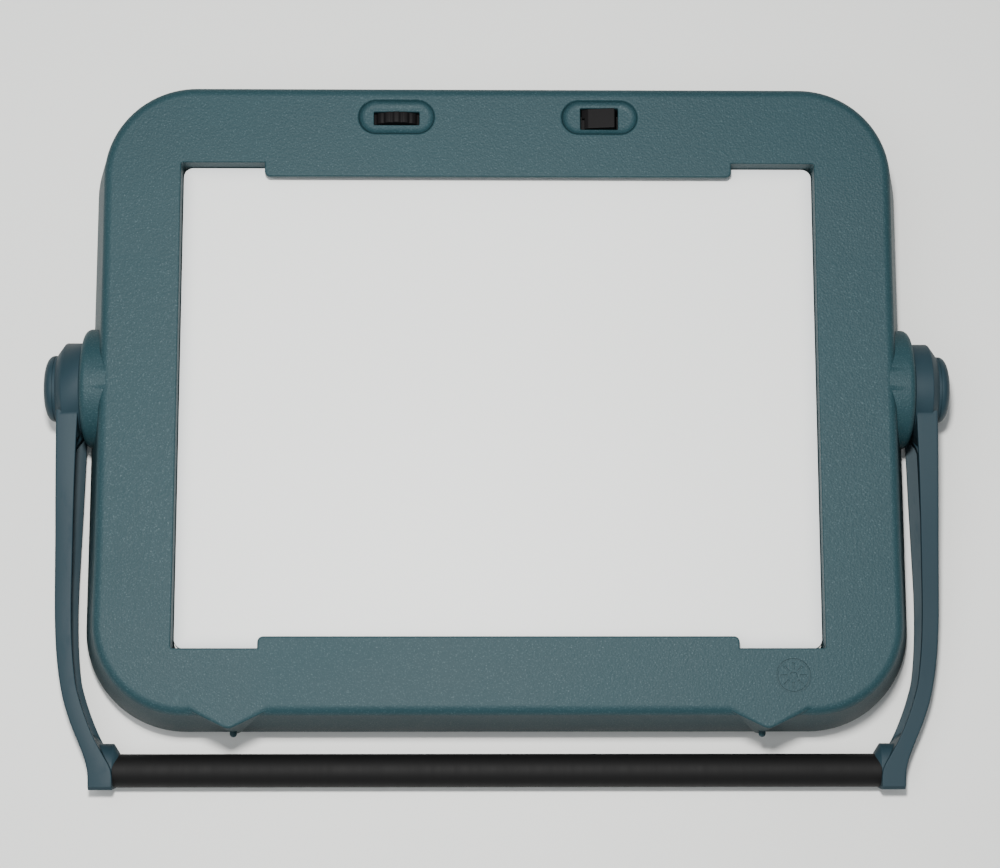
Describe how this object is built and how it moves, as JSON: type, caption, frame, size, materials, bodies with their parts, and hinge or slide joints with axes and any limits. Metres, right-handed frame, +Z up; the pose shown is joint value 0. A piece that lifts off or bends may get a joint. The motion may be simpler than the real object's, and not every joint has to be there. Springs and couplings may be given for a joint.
{
  "type": "portable light box",
  "caption": "Backlit light box with a white work panel in a teal bezel, thumbwheel dimmer, rocker switch and a swinging U-shaped carry handle with push-button pivots.",
  "frame": {"origin": "middle of the whole object's footprint, on the table, the box lying on its back with the handle in front of it", "axes": "+Z up out of the lit panel, +X to the right along the box's long side, the handle's bar towards -Y"},
  "size_m": [0.4092, 0.3188, 0.0562],
  "materials": {
    "bezel_teal": "fine-textured moulded plastic, dark grey-teal",
    "cover_teal": "textured moulded plastic, dark grey-teal",
    "handle_teal": "smooth satin moulded plastic, blue-grey teal",
    "opal_acrylic": "polished translucent white acrylic",
    "white_plastic": "white moulded plastic",
    "led_board": "white solder mask with clear lenses",
    "circuit_board": "green solder mask",
    "black_fitting": "black moulded plastic",
    "control_black": "satin black moulded plastic",
    "grip_black": "satin black plastic tube",
    "battery_wrap": "shrink-wrapped cells",
    "black_rubber": "matt rubber",
    "steel": "zinc-plated steel"
  },
  "bodies": {
    "housing": {"front_housing": "bezel_teal", "rear_cover": "cover_teal", "diffuser_panel": "opal_acrylic", "panel_frame": "white_plastic", "reflector_tray": "white_plastic", "led_strip_1": "led_board", "led_strip_2": "led_board", "led_strip_3": "led_board", "led_strip_4": "led_board", "control_board": "circuit_board", "dimmer_body": "black_fitting", "switch_body": "black_fitting", "battery_pack": "battery_wrap", "battery_door": "cover_teal", "battery_door_screw": "steel", "power_inlet": "black_fitting", "housing_screw_1": "steel", "housing_screw_2": "steel", "housing_screw_3": "steel", "housing_screw_4": "steel", "housing_screw_5": "steel", "housing_screw_6": "steel", "rubber_foot_1": "black_rubber", "rubber_foot_2": "black_rubber", "rubber_foot_3": "black_rubber", "rubber_foot_4": "black_rubber", "right_stand_bumper": "black_rubber", "left_stand_bumper": "black_rubber", "right_detent_ring": "steel", "left_detent_ring": "steel", "right_pivot_pin": "steel", "left_pivot_pin": "steel"},
    "handle": {"right_arm": "handle_teal", "left_arm": "handle_teal", "right_return_spring": "steel", "left_return_spring": "steel", "right_grip_screw": "steel", "left_grip_screw": "steel", "grip_tube": "grip_black", "grip_core": "steel"},
    "right_button": {"right_release_button": "handle_teal"},
    "left_button": {"left_release_button": "handle_teal"},
    "dimmer": {"dimmer_wheel": "control_black"},
    "power_switch": {"switch_rocker": "control_black"}
  },
  "joints": [
    {"name": "handle_swing", "type": "hinge", "parent": "housing", "child": "handle", "pos_m": [0, 0.0205, 0.028], "axis": [-1, 0, 0], "range_deg": [0, 300]},
    {"name": "right_release", "type": "slide", "parent": "handle", "child": "right_button", "axis": [-1, 0, 0], "range_m": [0, 0.003], "stiffness_N_per_m": 700, "springref_m": -0.002},
    {"name": "left_release", "type": "slide", "parent": "handle", "child": "left_button", "axis": [1, 0, 0], "range_m": [0, 0.003], "stiffness_N_per_m": 700, "springref_m": -0.002},
    {"name": "dimmer_turn", "type": "hinge", "parent": "housing", "child": "dimmer", "pos_m": [-0.046, 0.1405, 0.0422], "axis": [0, 1, 0], "range_deg": [-135, 135]},
    {"name": "power_rock", "type": "hinge", "parent": "housing", "child": "power_switch", "pos_m": [0.046, 0.1405, 0.049], "axis": [0, 1, 0], "range_deg": [0, 16]}
  ]
}
